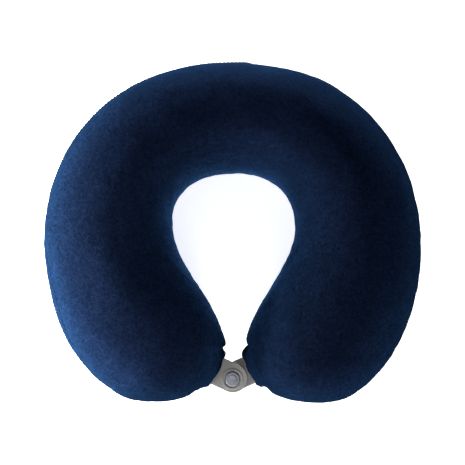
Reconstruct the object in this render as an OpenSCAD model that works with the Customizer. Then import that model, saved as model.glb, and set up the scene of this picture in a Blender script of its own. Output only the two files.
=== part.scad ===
// U shaped neck pillow: foam core in a liner, inside a two-panel velour
// cover with a zip in the back seam and two moulded tabs closed by a snap.
// The pillow lies flat as worn: +Z up, back of the neck toward +Y, mouth
// toward -Y. Left is -X. Origin: centre of the footprint, on the resting plane.

/* [Pillow body] */
// Overall width across the two sides (mm)
body_w = 320; // [306:1:334]
// Overall depth from the back edge to the arm tips (mm)
body_d = 288; // [280:1:296]
// Height of the side lobes above the resting plane (mm)
body_h = 110; // [102:1:118]
// Height of the part behind the neck (mm)
back_h = 103; // [96:1:110]
// Height of the seam between the two cover panels (mm)
seam_z = 54; // [50:1:57]
// Radius of the flat back edge seen from above (mm)
back_r = 200; // [190:1:215]
// Radius of the rounded sides seen from above (mm)
side_r = 142; // [136:1:146]
// Fullness of the cross-section, 2 is round, more is boxier
fullness = 2.15; // [2.0:0.05:2.5]

/* [Neck opening] */
// Width of the opening where the neck sits (mm)
neck_w = 104.6; // [98:0.2:112]
// Distance of the widest point of the opening from the footprint centre (mm)
neck_y = 6.8; // [0:0.2:12]
// Back end of the opening from the footprint centre (mm)
neck_back = 50.2; // [46:0.2:56]
// Gap left between the two arms at the mouth (mm)
mouth_gap = 17; // [14:0.5:22]
// How far forward the arms run before their ends round off (mm)
mouth_y = 100; // [96:1:106]
// Sideways position of the foremost point of each arm (mm)
tip_x = 75; // [68:1:80]

/* [Fabric] */
// Thickness of the velour cover (mm)
cover_t = 1.2; // [0.8:0.1:1.4]
// Thickness of the inner liner (mm)
liner_t = 0.5; // [0.4:0.1:0.6]
// Depth of the crease along the cover seam (mm)
crease = 0.9; // [0.3:0.1:1.2]

/* [Tabs and snap] */
// Width of each moulded tab (mm)
tab_w = 23.8; // [20:0.2:25]
// How far the tab is centred behind its snap (mm)
tab_off = 1; // [0:0.1:1.2]
// Thickness of the tab (mm)
tab_t = 1.6; // [1.2:0.1:1.8]
// Distance from the footprint centre forward to the snap (mm)
snap_y = 124.5; // [123:0.5:126]
// Tab length from its fold line to the snap (mm)
tab_l = 12.9; // [12.4:0.1:13.2]
// Angle each tab slopes toward the front (degrees)
tab_a = 24.5; // [23:0.5:28]
// Diameter of the snap caps (mm)
cap_d = 12.4; // [11:0.1:13]

/* [Zip] */
// Width of each fabric tape of the zip (mm)
tape_w = 7.6; // [6:0.2:9]
// Spacing of the coil turns (mm)
coil_pitch = 2; // [1.5:0.1:2.5]
// Length of the pull (mm)
pull_l = 13; // [10:0.5:14]

/* [Hidden] */

navy = [0.09, 0.14, 0.27];
thread_navy = [0.05, 0.07, 0.14];
tape_navy = [0.10, 0.13, 0.22];
coil_navy = [0.12, 0.15, 0.24];
foam_cream = [0.93, 0.91, 0.84];
liner_white = [0.85, 0.86, 0.88];
tab_grey = [0.45, 0.44, 0.43];
snap_metal = [0.50, 0.51, 0.55];
zip_metal = [0.62, 0.63, 0.66];
pull_metal = [0.66, 0.67, 0.70];

// ---- Footprint ----
// A station runs round the U: 0 at the middle of the back, 1 at the right
// arm tip, -1 at the left. Edges and heights are worked out for the right half.
wide_station = 0.40;                 // widest point
end_station = 0.80;                  // where the rounded arm end begins
front_sweep = 50;                    // degrees of the outer edge between those two
half_d = body_d/2;
neck_half = neck_w/2;
mouth_half = mouth_gap/2;
back_cy = half_d - back_r;           // centre of the back arc
side_cx = body_w/2 - side_r;         // centre of the side arc
side_cy = back_cy + sqrt(pow(back_r - side_r, 2) - side_cx*side_cx);
back_sweep = atan2(side_cx, side_cy - back_cy); // where the back arc meets the side arc
opening_power = 2.25;                // roundness of the neck opening and inner arm ends
bottom_h = seam_z + 3.5;             // depth of the lower half before it lies flat

function signed_pow(value, power) = sign(value)*pow(abs(value), power);
function smooth(x) = let(part = min(1, max(0, x))) part*part*(3 - 2*part);
// [low, high] of a span above (side 1) or its mirror image below (side -1)
function span(side, near, far) = side > 0 ? [near, far] : [-far, -near];

// stations at an angle round the back (90 at the widest point) and the arm end
function back_station(angle) = wide_station*angle/90;
function end_at(angle) = end_station + (1 - end_station)*angle/90;
function end_angle(station) = 90*(station - end_station)/(1 - end_station);
function in_end(station, from, to) =
    abs(station) > end_at(from) && abs(station) < end_at(to) ? 1 : 0;

// outer edge of the footprint, moved into the body by inset
function outer(station, inset) =
    station <= wide_station
    ? let(angle = 90*(1 - station/wide_station))
      angle >= 90 - back_sweep
      ? [(back_r - inset)*cos(angle), back_cy + (back_r - inset)*sin(angle)]
      : [side_cx + (side_r - inset)*cos(angle), side_cy + (side_r - inset)*sin(angle)]
    : let(angle = station <= end_station
              ? front_sweep*(station - wide_station)/(end_station - wide_station)
              : front_sweep + (90 - front_sweep)*(station - end_station)/(1 - end_station))
      [tip_x + (body_w/2 - tip_x - inset)*cos(angle),
       side_cy - (half_d + side_cy - inset)*sin(angle)];

// inner edge of the footprint, moved into the body by inset
function inner(station, inset) =
    station <= wide_station
    ? let(angle = 90*(1 - station/wide_station))
      [(neck_half + inset)*signed_pow(cos(angle), 2/opening_power),
       neck_y + (neck_back - neck_y + inset)*signed_pow(sin(angle), 2/opening_power)]
    : station <= end_station
    ? let(part = (station - wide_station)/(end_station - wide_station))
      [mouth_half + inset + (neck_half - mouth_half)*(0.5 + 0.5*cos(180*part)),
       neck_y - (neck_y + mouth_y)*part]
    : let(angle = end_angle(station))
      [tip_x - (tip_x - mouth_half - inset)*signed_pow(cos(angle), 2/opening_power),
       -mouth_y - (half_d - mouth_y - inset)*signed_pow(sin(angle), 2/opening_power)];

// height of the body above (side 1) or below (side -1) the seam
function end_scale(station) =
    station <= end_station ? 1 : station >= 1 ? 0 : pow(cos(end_angle(station)), 0.72);
function top_h(station) = (back_h - seam_z) + (body_h - back_h)*smooth(station/wide_station);
function half_h(station, side, inset) =
    ((side > 0 ? top_h(abs(station)) : bottom_h) - inset)*end_scale(abs(station));

// stations from one arm tip to the other
function both_ways(half) = concat([for (i = [len(half)-1:-1:0]) -half[i]], [0], half);
fine_stations = both_ways(concat(
    [for (angle = [4, 7, 12, 20, 28, 36, 44, 52, 60, 68, 76, 83, 90]) back_station(angle)],
    [for (k = [1:12]) wide_station + (end_station - wide_station)*k/12],
    [for (angle = [3, 6, 9, 22, 36, 40, 48, 58, 68, 77, 84, 88]) end_at(angle)]));
coarse_stations = both_ways(concat(
    [for (angle = [6:12:90]) back_station(angle)],
    [for (k = [0:8]) wide_station + (end_station - wide_station)*k/8],
    [for (angle = [9, 22, 36, 48, 62, 76, 86]) end_at(angle)]));
fine_steps = 16;                     // steps across a panel
coarse_steps = 11;

// ---- Openings left in the cover seam ----
zip_open = -back_station(58);        // open end of the zip
zip_closed = back_station(8);        // closed end
zip_slot = 4.6;                      // panel edge to seam height, at the zip
tab_slot = tab_t + 2.1;              // the same at a tab

function outer_gap(station) = zip_slot*smooth((station - zip_open)/back_station(6))
                                      *smooth((zip_closed - station)/back_station(4));
// the left tab passes through the top panel, the right one through the bottom
function inner_gap(station, side) = side*station < 0 ? tab_slot*in_end(station, 5, 41) : 0;

// ---- Cross-section ----
// angle round the section at which it stands gap above the seam
function edge_angle(gap, height) = gap <= 0 ? 0 : asin(pow(gap/height, fullness/2));

// angle at part 0 (outer edge) to 1 (inner edge), with steps closer near the seam
function section_angle(station, side, slots, part) =
    let(height = half_h(station, side, 0),
        start = slots ? edge_angle(outer_gap(station), height) : 0,
        finish = slots ? edge_angle(inner_gap(station, side), height) : 0,
        spread = part - 0.35*sin(360*part)/(2*PI))
    start + (180 - start - finish)*spread;

// point of a skin; pinch dents it all along the seam, recess behind the zip
// and at the tabs
function skin_point(station, angle, inset, pinch, recess, side, floor_z) =
    let(along = abs(station),
        in_edge = inner(along, inset),
        out_edge = outer(along, inset),
        middle = (in_edge + out_edge)/2,
        half_span = (out_edge - in_edge)/2,
        reach = norm(half_span),
        across = signed_pow(cos(angle), 2/fullness),
        z = half_h(along, side, inset)*pow(abs(sin(angle)), 2/fullness),
        zip_part = smooth((station - zip_open + 0.03)/0.04)
                 * smooth((zip_closed + 0.03 - station)/0.03),
        dent = pinch*exp(-z*z/9)*min(1, reach/10)
             + (across > 0 ? recess*zip_part*exp(-z*z/150)
                           : min(recess, 2.2)*in_end(station, 0, 46)*exp(-z*z/60)),
        place = middle + (reach > 0 ? half_span/reach : [0, 0])
                       * (reach*across - sign(across)*dent))
    [station < 0 ? -place.x : place.x, place.y, max(floor_z, seam_z + side*z)];

// ---- Mesh builders ----
function facing(face, keep = true) =
    keep ? face : [for (i = [len(face)-1:-1:0]) face[i]];
function quad(ids, keep = true) =
    [facing([ids[0], ids[1], ids[2]], keep), facing([ids[0], ids[2], ids[3]], keep)];

// hollow panel above (side 1) or below (side -1) the seam: outside skin 0 and
// inside skin 1, joined along the seam edges
module panel(side, stations, steps, insets, floors, pinch, recess, slots) {
    last = len(stations) - 1;
    size = len(stations)*(steps + 1) + 2; // points in one skin
    upper = side > 0;
    function at(station, angle, k) =
        skin_point(station, angle, insets[k], pinch, recess, side, floors[k]);
    function skin(k) = concat(
        [at(-1, 0, k)],
        [for (station = stations) for (j = [0:steps])
            at(station, section_angle(station, side, slots, j/steps), k)],
        [at(1, 0, k)]);
    function id(k, i, j) = k*size + 1 + i*(steps + 1) + j;
    skins = [for (k = [0, 1]) let(keep = (k == 0) == upper) each concat(
        [for (j = [0:steps-1]) facing([k*size, id(k, 0, j), id(k, 0, j+1)], keep)],
        [for (i = [0:last-1]) for (j = [0:steps-1]) each
            quad([id(k, i, j), id(k, i+1, j), id(k, i+1, j+1), id(k, i, j+1)], keep)],
        [for (j = [0:steps-1])
            facing([k*size + size - 1, id(k, last, j+1), id(k, last, j)], keep)])];
    edges = [for (j = [0, steps]) let(keep = (j == 0) == upper) each concat(
        quad([0, size, id(1, 0, j), id(0, 0, j)], keep),
        [for (i = [0:last-1]) each
            quad([id(0, i, j), id(1, i, j), id(1, i+1, j), id(0, i+1, j)], keep)],
        quad([id(0, last, j), id(1, last, j), 2*size - 1, size - 1], keep))];
    polyhedron(points = concat(skin(0), skin(1)), faces = concat(skins, edges));
}

// solid body, steps across each half
module solid_body(stations, steps, inset, pinch, recess, floor_z) {
    last = len(stations) - 1;
    ring = 2*steps;
    function at(station, angle, side) =
        skin_point(station, angle, inset, pinch, recess, side, floor_z);
    function row(station) = concat(
        [for (j = [0:steps-1])
            at(station, section_angle(station, 1, false, j/steps), 1)],
        [for (j = [0:steps-1])
            at(station, 180 - section_angle(station, -1, false, j/steps), -1)]);
    function id(i, j) = 1 + i*ring + (j % ring);
    polyhedron(
        points = concat([at(-1, 0, 1)], [for (station = stations) each row(station)],
                        [at(1, 0, 1)]),
        faces = concat(
            [for (j = [0:ring-1]) [0, id(0, j), id(0, j+1)]],
            [for (i = [0:last-1]) for (j = [0:ring-1]) each
                quad([id(i, j), id(i+1, j), id(i+1, j+1), id(i, j+1)])],
            [for (j = [0:ring-1]) [id(last, ring) + ring, id(last, j+1), id(last, j)]]));
}

// closed tube through a list of rings of points
module tube(rings, keep = true) {
    count = len(rings[0]);
    last = len(rings) - 1;
    polyhedron(
        points = [for (ring = rings) each ring],
        faces = concat(
            [facing([for (k = [0:count-1]) k], keep)],
            [for (i = [0:last-1]) for (k = [0:count-1])
                let(this = i*count + k, next = i*count + (k+1) % count)
                each quad([this, this + count, next + count, next], keep)],
            [facing([for (k = [count-1:-1:0]) last*count + k], keep)]));
}

// ---- Foam, liner and cover ----
foam_clear = 2.6;                    // foam to liner
liner_clear = 1.1;                   // liner to cover
liner_lift = 0.15;                   // liner to cover at the resting plane
thread_r = 0.3;

module liner_panel(side) {
    panel(side, coarse_stations, coarse_steps,
          insets = [cover_t + liner_clear, cover_t + liner_t + liner_clear],
          floors = [cover_t + liner_lift, cover_t + liner_t + liner_lift],
          pinch = crease + 1.6, recess = 5.4, slots = false);
}
// the outside skin dips below the resting plane, where cover_bottom cuts it flat
module cover_panel(side) {
    panel(side, fine_stations, fine_steps, insets = [0, cover_t], floors = [-9, cover_t],
          pinch = crease, recess = 0, slots = true);
}

// thread laid along a level path
module thread(path) {
    last = len(path) - 1;
    tube([for (i = [0:last])
        let(step = path[min(last, i+1)] - path[max(0, i-1)],
            along = step/norm(step),
            sideways = [along.y, -along.x, 0])
        [for (k = [0:5]) path[i] + thread_r*(cos(60*k)*sideways + sin(60*k)*[0, 0, 1])]]);
}
function seam_point(station, on_inner, inset) =
    let(edge = on_inner ? inner(abs(station), inset) : outer(abs(station), inset))
    [station < 0 ? -edge.x : edge.x, edge.y, seam_z];

module foam_core() {
    color(foam_cream) solid_body(coarse_stations, coarse_steps,
        inset = cover_t + liner_t + foam_clear,
        pinch = crease + 2.2, recess = 6, floor_z = cover_t + liner_t + 2);
}
module liner_top() { color(liner_white) liner_panel(1); }
module liner_bottom() { color(liner_white) liner_panel(-1); }
module cover_top() { color(navy) cover_panel(1); }
module cover_bottom() {
    color(navy) difference() {
        cover_panel(-1);
        translate([-body_w, -body_w, -20]) cube([2*body_w, 2*body_w, 20]);
    }
}
module cover_thread() {
    // from station, to station, steps, on the inner edge
    runs = [[-end_at(72), zip_open - 0.02, 40, false],
            [zip_closed + 0.02, end_at(72), 50, false],
            [-end_at(2), end_at(2), 64, true],
            [end_at(46), end_at(70), 6, true],
            [-end_at(46), -end_at(70), 6, true]];
    color(thread_navy) for (run = runs)
        thread([for (k = [0:run[2]])
            seam_point(run[0] + (run[1] - run[0])*k/run[2], run[3], cover_t + crease + 0.4)]);
}

// ---- Zip ----
// The zip follows a circle set in behind the back edge, through three points:
// angle round the back, inset, side of the centre line
zip_points = [for (row = [[4, 5.0, 1], [26, 4.1, -1], [50, 3.7, -1]])
    let(edge = outer(back_station(row[0]), row[1])) [row[2]*edge.x, edge.y]];
function circle_centre(points) =
    let(mid = points[1] - points[0], far = points[2] - points[0],
        mid_sq = mid*mid, far_sq = far*far)
    points[0] + [far.y*mid_sq - mid.y*far_sq, mid.x*far_sq - far.x*mid_sq]
                /(2*(mid.x*far.y - mid.y*far.x));
zip_centre = circle_centre(zip_points);
zip_r = norm(zip_points[0] - zip_centre);
function zip_angle(x) = acos((x - zip_centre.x)/zip_r);
slider_angle = zip_angle(10.2);
closed_angle = zip_angle(16.4);      // closed end of the chain
open_angle = zip_angle(-117);        // open end of the chain
per_mm = 180/(PI*zip_r);             // degrees per mm along the chain
tape_gap = 1.4;                      // seam height to tape edge
plate_reach = 6*per_mm;              // more than half a slider plate's length

module at_zip(angle) {
    translate([zip_centre.x, zip_centre.y, seam_z]) rotate([0, 0, angle]) children();
}
// bar along the chain: end angles, then [low, high] out from the circle and up
module zip_arc(from, to, radial, height) {
    at_zip(from) rotate_extrude(angle = to - from, $fn = 180)
        translate([zip_r + radial[0], height[0]])
            square([radial[1] - radial[0], height[1] - height[0]]);
}
module zip_tape(side) {
    zip_arc(closed_angle - 9*per_mm, open_angle + 12*per_mm, [-0.25, 0.25],
            span(side, tape_gap, tape_gap + tape_w));
}
// toothed strip, alternating between two sections every half pitch
module zip_coil(side) {
    count = floor((open_angle - closed_angle)/per_mm/coil_pitch)*2;
    tube([for (k = [0:count])
        let(angle = closed_angle + (open_angle - closed_angle)*k/count,
            even = k % 2 == 0,
            near_r = zip_r + 0.3,
            far_r = zip_r + (even ? 0.8 : 1.4),
            near_z = side*(even ? 0.75 : 0.5),
            far_z = side*2.5)
        [for (corner = [[near_r, near_z], [far_r, near_z], [far_r, far_z], [near_r, far_z]])
            [zip_centre.x + corner.x*cos(angle), zip_centre.y + corner.x*sin(angle),
             seam_z + corner.y]]], keep = side < 0);
}
// slider frame: x outward from the zip circle, y toward the open end, z up
module at_slider() {
    at_zip(slider_angle) translate([zip_r, 0, 0]) children();
}
module slider_outline() {
    offset(r = 0.6, $fn = 24)
        polygon([[-3.0, -4.0], [3.0, -4.0], [3.0, -0.6], [2.0, 3.9], [-2.0, 3.9], [-3.0, -0.6]]);
}
module slider_plate(radial) {
    intersection() {
        zip_arc(slider_angle - plate_reach, slider_angle + plate_reach, radial, [-4, 4]);
        at_zip(slider_angle) rotate([0, 90, 0]) linear_extrude(zip_r + 6) slider_outline();
    }
}

module zip_tape_upper() { color(tape_navy) zip_tape(1); }
module zip_tape_lower() { color(tape_navy) zip_tape(-1); }
module zip_coil_upper() { color(coil_navy) zip_coil(1); }
module zip_coil_lower() { color(coil_navy) zip_coil(-1); }
module zip_stop_closed() {
    color(zip_metal) for (side = [-1, 1])
        zip_arc(closed_angle - 1.5*per_mm, closed_angle - 0.1*per_mm, [0.3, 1.5],
                span(side, 0.8, 2.7));
}
module zip_stop_open() {
    color(zip_metal)
        zip_arc(open_angle + 0.1*per_mm, open_angle + 2.4*per_mm, [0.3, 1.5], [-2.8, 2.8]);
}
module zip_slider() {
    color(zip_metal) union() {
        slider_plate([1.6, 2.4]);
        slider_plate([-1.25, -0.45]);
        // post joining the plates
        zip_arc(slider_angle - 3.6*per_mm, slider_angle - 0.8*per_mm,
                [-0.5, 1.7], [-0.34, 0.34]);
        // flanges above and below the coils
        for (side = [-1, 1])
            zip_arc(slider_angle - 3.2*per_mm, slider_angle + 0.4*per_mm, [0.45, 1.7],
                    span(side, 2.75, 3.4));
        // bridge that holds the pull
        at_slider() translate([0, 0, -0.8]) linear_extrude(1.6)
            polygon([[2.2, -2.8], [3.45, -2.4], [4.0, -1.6], [4.0, 1.6], [3.45, 2.4], [2.2, 2.8],
                     [2.2, 1.7], [3.3, 1.4], [3.3, -1.4], [2.2, -1.7]]);
    }
}
// pin under the bridge and a flat plate hanging from it
module zip_pull() {
    end_y = pull_l - 1.6;
    color(pull_metal) at_slider() translate([2.86, 0, 0]) union() {
        translate([0, 0, -2.7]) cylinder(r = 0.35, h = 5.4, $fn = 32);
        rotate([0, 90, 0]) translate([0, 0, -0.35]) linear_extrude(0.7) difference() {
            union() {
                translate([-2.7, 0]) square([5.4, 5]);
                offset(r = 1.4, $fn = 32)
                    polygon([[-1.3, 4], [1.3, 4], [1.7, end_y], [-1.7, end_y]]);
            }
            translate([-1.2, -0.1]) square([2.4, 4.6]);
            translate([0, pull_l - 3.2]) circle(r = 1.1, $fn = 32);
        }
    }
}

// ---- Tabs and snap ----
// The left tab (side -1) lies above the seam, the right one (side 1) below.
near_z = 1.3;                        // tab face that looks at the other tab
far_z = near_z + tab_t;
root_l = 2.5;
root_gap = 0.12;                     // between a tab's fold and its root

// tab frame: x from the snap toward the arm, y across, z up from the seam
module at_tab(side) {
    translate([0, -snap_y, seam_z]) rotate([0, 0, side < 0 ? 180 - tab_a : tab_a]) children();
}
module strap(side) {
    low_z = span(-side, near_z, far_z)[0];
    mid_y = side*tab_off;
    difference() {
        union() {
            translate([0, mid_y, low_z]) cylinder(r = tab_w/2, h = tab_t, $fn = 96);
            translate([0, mid_y - tab_w/2, low_z]) cube([tab_l, tab_w, tab_t]);
            translate([tab_l, mid_y + tab_w/2, low_z + tab_t/2]) rotate([90, 0, 0])
                cylinder(r = tab_t/2, h = tab_w, $fn = 32);
        }
        translate([0, 0, low_z - 1]) cylinder(r = 1.5, h = tab_t + 2, $fn = 32);
    }
}
module root(side) {
    translate([tab_l + tab_t/2 + root_gap, side*tab_off - tab_w/2,
               span(-side, near_z, far_z)[0]])
        cube([root_l, tab_w, tab_t]);
}
// domed cap with a shank through the tab; face is 1 up, -1 down
module snap_cap(face) {
    translate([0, 0, face*far_z]) mirror([0, 0, face > 0 ? 0 : 1]) {
        rotate_extrude($fn = 48) polygon(concat([[0, 0]],
            [for (k = [0:6]) [cap_d/2 - 1.2 + 1.2*cos(15*k), 0.2 + 0.8*sin(15*k)]],
            [[cap_d/2 - 2.6, 1.22], [cap_d/2 - 4.4, 1.42], [0, 1.5]]));
        translate([0, 0, -tab_t]) cylinder(r = 1.35, h = tab_t + 0.1, $fn = 32);
    }
}

module tab_root_left() { color(tab_grey) at_tab(-1) root(-1); }
module tab_root_right() { color(tab_grey) at_tab(1) root(1); }
module tab_left() { color(tab_grey) at_tab(-1) strap(-1); }
module tab_right() { color(tab_grey) at_tab(1) strap(1); }
module snap_cap_upper() { color(snap_metal) at_tab(-1) snap_cap(1); }
module snap_cap_lower() { color(snap_metal) at_tab(1) snap_cap(-1); }
module snap_socket() {
    color(snap_metal) at_tab(-1) translate([0, 0, near_z]) rotate_extrude($fn = 48)
        polygon([[0, 0], [5.5, 0], [5.5, -0.5], [4.9, -0.9], [4.4, -2.2],
                 [2.7, -2.2], [2.6, -2.0], [2.6, -0.3], [0, -0.3]]);
}
module snap_stud() {
    color(snap_metal) at_tab(1) translate([0, 0, -near_z]) rotate_extrude($fn = 48)
        polygon([[0, 0], [4.6, 0], [4.6, 0.15], [4.2, 0.28], [1.9, 0.28],
                 [1.8, 1.3], [2.1, 1.7], [1.9, 2.0], [1.2, 2.1], [0, 2.1]]);
}

foam_core();
liner_top();
liner_bottom();
cover_top();
cover_bottom();
cover_thread();
zip_tape_upper();
zip_tape_lower();
zip_coil_upper();
zip_coil_lower();
zip_stop_closed();
zip_stop_open();
zip_slider();
zip_pull();
tab_root_left();
tab_root_right();
tab_left();
tab_right();
snap_cap_upper();
snap_socket();
snap_stud();
snap_cap_lower();
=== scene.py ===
# A zipped velour neck pillow: a soft ring round a hole, open at the front.
# It lies flat on the floor, z = 0. +Y is the back, with the zip in its outer seam. The opening
# faces -Y and is bridged by two tabs with a snap. Left is -X and right is +X, seen from above.
# Shapes are worked out in millimetres; make_mesh turns them into metres.
import math

import bmesh
import bpy
import numpy as np
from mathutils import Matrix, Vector


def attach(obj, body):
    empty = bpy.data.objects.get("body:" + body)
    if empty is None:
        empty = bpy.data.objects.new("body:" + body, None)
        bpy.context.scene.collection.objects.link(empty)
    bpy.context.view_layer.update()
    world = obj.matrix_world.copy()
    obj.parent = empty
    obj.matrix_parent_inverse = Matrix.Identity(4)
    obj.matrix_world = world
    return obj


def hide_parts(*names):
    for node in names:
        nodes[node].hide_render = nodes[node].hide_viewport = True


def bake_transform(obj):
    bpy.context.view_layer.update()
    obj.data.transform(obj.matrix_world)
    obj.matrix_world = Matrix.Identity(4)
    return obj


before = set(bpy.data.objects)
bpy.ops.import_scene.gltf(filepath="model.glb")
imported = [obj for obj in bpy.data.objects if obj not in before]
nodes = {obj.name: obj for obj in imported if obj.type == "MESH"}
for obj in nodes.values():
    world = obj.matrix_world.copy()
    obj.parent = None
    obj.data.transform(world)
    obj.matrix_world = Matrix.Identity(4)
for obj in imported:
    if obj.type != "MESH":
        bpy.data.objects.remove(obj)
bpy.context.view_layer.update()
scene = bpy.context.scene

MM = 0.001

# ------------------------------------------------------------- dimensions
WIDTH, DEPTH, HEIGHT = 320.0, 288.0, 110.0
BACK_HEIGHT = 103.0
SEAM = 54.0  # height of the cover seam and the zip
BACK_RADIUS, SIDE_RADIUS = 200.0, 142.0  # arcs of the outer outline
HOLE_HALF, HOLE_Y, HOLE_BACK = 52.3, 6.8, 50.2  # half width, widest place, back edge
MOUTH_HALF, MOUTH_Y = 8.5, 100.0  # half width of the opening, how far forward it narrows
TIP_X = 75.0  # where the outline of a tip is furthest forward
BACK_Y = DEPTH / 2
BACK_CENTER_Y = BACK_Y - BACK_RADIUS
SIDE_CENTER_X = WIDTH / 2 - SIDE_RADIUS
SIDE_CENTER_Y = BACK_CENTER_Y + math.sqrt((BACK_RADIUS - SIDE_RADIUS) ** 2 - SIDE_CENTER_X**2)
BACK_ARC = math.degrees(math.atan2(SIDE_CENTER_X, SIDE_CENTER_Y - BACK_CENTER_Y))
BOTTOM_DROP = SEAM + 3.5  # reaches below the floor, where the fabric is flattened
HOLE_POWER, SECTION_POWER = 2.25, 2.15  # superellipse exponents

# A station runs from 0 at the middle of the back to 1 at a tip; it is negative on the left.
BACK_END, SIDE_END, SIDE_TURN = 0.40, 0.80, 50.0  # last one: degrees turned along a side
LAST_TIP_ANGLE = 88.8

OUTER, INNER = 0, 1  # the two seams

TAB_ANGLE = 24.5  # of a tab's axis from the X axis
TAB_HINGE, TAB_WIDTH, TAB_THICK = 12.9, 24.7, 1.6  # hinge is measured from the snap
TAB_OFFSET, SNAP_Y = 1.0, -124.5
TAB_GAP = 1.3  # from the seam level to the nearer face of a tab
TAB_MIDDLE, TAB_FAR = TAB_GAP + TAB_THICK / 2, TAB_GAP + TAB_THICK


# ---------------------------------------------------------- curve helpers
def cosd(angle):
    return np.cos(np.radians(angle))


def sind(angle):
    return np.sin(np.radians(angle))


def signed_power(value, power):
    return np.sign(value) * np.abs(value) ** power


def ramp(value, start, run):
    """Smooth step from 0 at start to 1 at start + run; run may be negative."""
    part = np.clip((value - start) / run, 0, 1)
    return part * part * (3 - 2 * part)


def bell(value, width, at=0.0, height=1.0, power=2):
    return height * np.exp(-(((value - at) / width) ** power))


def spot(x, y, at, width, height=1.0):
    return bell(np.hypot(x - at[0], y - at[1]), width, height=height)


def waves(seed, count, scale, dim=3):
    """A soft random field: a sum of sine waves of about this length (mm)."""
    random = np.random.default_rng(seed)
    vector = random.normal(size=(count, dim))
    vector /= np.linalg.norm(vector, axis=1)[:, None]
    vector *= 2 * np.pi / (scale * random.uniform(0.6, 1.7, count))[:, None]
    phase = random.uniform(0, 2 * np.pi, count)
    weight = random.uniform(0.5, 1.0, count)
    weight /= np.sqrt((weight * weight).sum() / 2)

    def field(points):
        return (np.sin(points @ vector.T + phase) * weight).sum(-1)

    return field


def run_length(points):
    """Length run along each polyline; points are on the second last axis."""
    total = np.cumsum(np.linalg.norm(np.diff(points, axis=-2), axis=-1), axis=-1)
    return np.concatenate([np.zeros_like(total[..., :1]), total], -1)


def resample(path, length, at):
    return np.stack([np.interp(at, length, path[:, k]) for k in range(path.shape[1])], 1)


# --------------------------------------------------------- pillow outline
def outer(station, depth=0.0):
    """Outer outline at stations 0 to 1, moved in by depth."""
    station = np.asarray(station, float)
    angle = 90 * (1 - station / BACK_END)
    back = angle >= 90 - BACK_ARC
    side_radius = SIDE_RADIUS - depth
    back_x = np.where(back, (BACK_RADIUS - depth) * cosd(angle),
                      SIDE_CENTER_X + side_radius * cosd(angle))
    back_y = np.where(back, BACK_CENTER_Y + (BACK_RADIUS - depth) * sind(angle),
                      SIDE_CENTER_Y + side_radius * sind(angle))
    turn = np.where(
        station <= SIDE_END,
        SIDE_TURN * (station - BACK_END) / (SIDE_END - BACK_END),
        SIDE_TURN + (90 - SIDE_TURN) * (station - SIDE_END) / (1 - SIDE_END),
    )
    side_x = TIP_X + (WIDTH / 2 - TIP_X - depth) * cosd(turn)
    side_y = SIDE_CENTER_Y - (BACK_Y + SIDE_CENTER_Y - depth) * sind(turn)
    in_back = station <= BACK_END
    return np.stack([np.where(in_back, back_x, side_x), np.where(in_back, back_y, side_y)], -1)


def inner(station, depth=0.0):
    """Outline of the hole and the opening at stations 0 to 1, moved into the ring by depth."""
    station = np.asarray(station, float)
    power = 2 / HOLE_POWER
    angle = np.clip(90 * (1 - station / BACK_END), 0, 90)
    hole_x = (HOLE_HALF + depth) * signed_power(cosd(angle), power)
    hole_y = HOLE_Y + (HOLE_BACK - HOLE_Y + depth) * signed_power(sind(angle), power)
    part = (station - BACK_END) / (SIDE_END - BACK_END)
    neck_x = MOUTH_HALF + depth + (HOLE_HALF - MOUTH_HALF) * (0.5 + 0.5 * cosd(180 * part))
    neck_y = HOLE_Y - (HOLE_Y + MOUTH_Y) * part
    turn = np.clip(90 * (station - SIDE_END) / (1 - SIDE_END), 0, 90)
    tip_x = TIP_X - (TIP_X - MOUTH_HALF - depth) * signed_power(cosd(turn), power)
    tip_y = -MOUTH_Y - (BACK_Y - MOUTH_Y - depth) * signed_power(sind(turn), power)
    in_back, before_tip = station <= BACK_END, station <= SIDE_END
    x = np.where(in_back, hole_x, np.where(before_tip, neck_x, tip_x))
    y = np.where(in_back, hole_y, np.where(before_tip, neck_y, tip_y))
    return np.stack([x, y], -1)


def cross_axis(station, depth=0.0):
    """Middle, half width and outward direction of the ring at stations 0 to 1."""
    hole, outline = inner(station, depth), outer(station, depth)
    half = (outline - hole) / 2
    half_width = np.linalg.norm(half, axis=-1)
    return (hole + outline) / 2, half_width, half / np.maximum(half_width, 1e-9)[..., None]


def tip_height(station):
    """Share of the full height that is left towards a tip."""
    station = np.asarray(station, float)
    part = np.clip((station - SIDE_END) / (1 - SIDE_END), 0, 1)
    return np.where(station <= SIDE_END, 1.0, np.clip(cosd(90 * part), 0, 1) ** 0.72)


def top_rise(station):
    return (BACK_HEIGHT - SEAM) + (HEIGHT - BACK_HEIGHT) * ramp(np.asarray(station), 0, BACK_END)


def back_station(degrees):
    return BACK_END * degrees / 90


def tip_station(degrees):
    return SIDE_END + (1 - SIDE_END) * degrees / 90.0


ZIP_LEFT, ZIP_RIGHT = -back_station(58), back_station(8)


def zip_zone(station):
    """1 along the zip, 0 elsewhere."""
    return (ramp(station, ZIP_LEFT, back_station(6))
            * ramp(station, ZIP_RIGHT, -back_station(4)))


def zip_room(station):
    """Wider zone in which the hidden layers draw back from the zip."""
    return (ramp(station, ZIP_LEFT - back_station(10), back_station(6))
            * ramp(station, ZIP_RIGHT + back_station(13), -back_station(5)))


def tab_zone(station):
    """1 along the slots of the tabs."""
    away = np.abs(station)
    fade = tip_station(4) - tip_station(0)
    return ramp(away, tip_station(3), fade) * ramp(away, tip_station(38), -fade)


def lip_zone(station):
    """Zone in which the hidden layers draw back from the lips at the tabs."""
    away = np.abs(station)
    return ramp(away, SIDE_END - 0.07, 0.06) * ramp(away, tip_station(58), -0.04)


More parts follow.
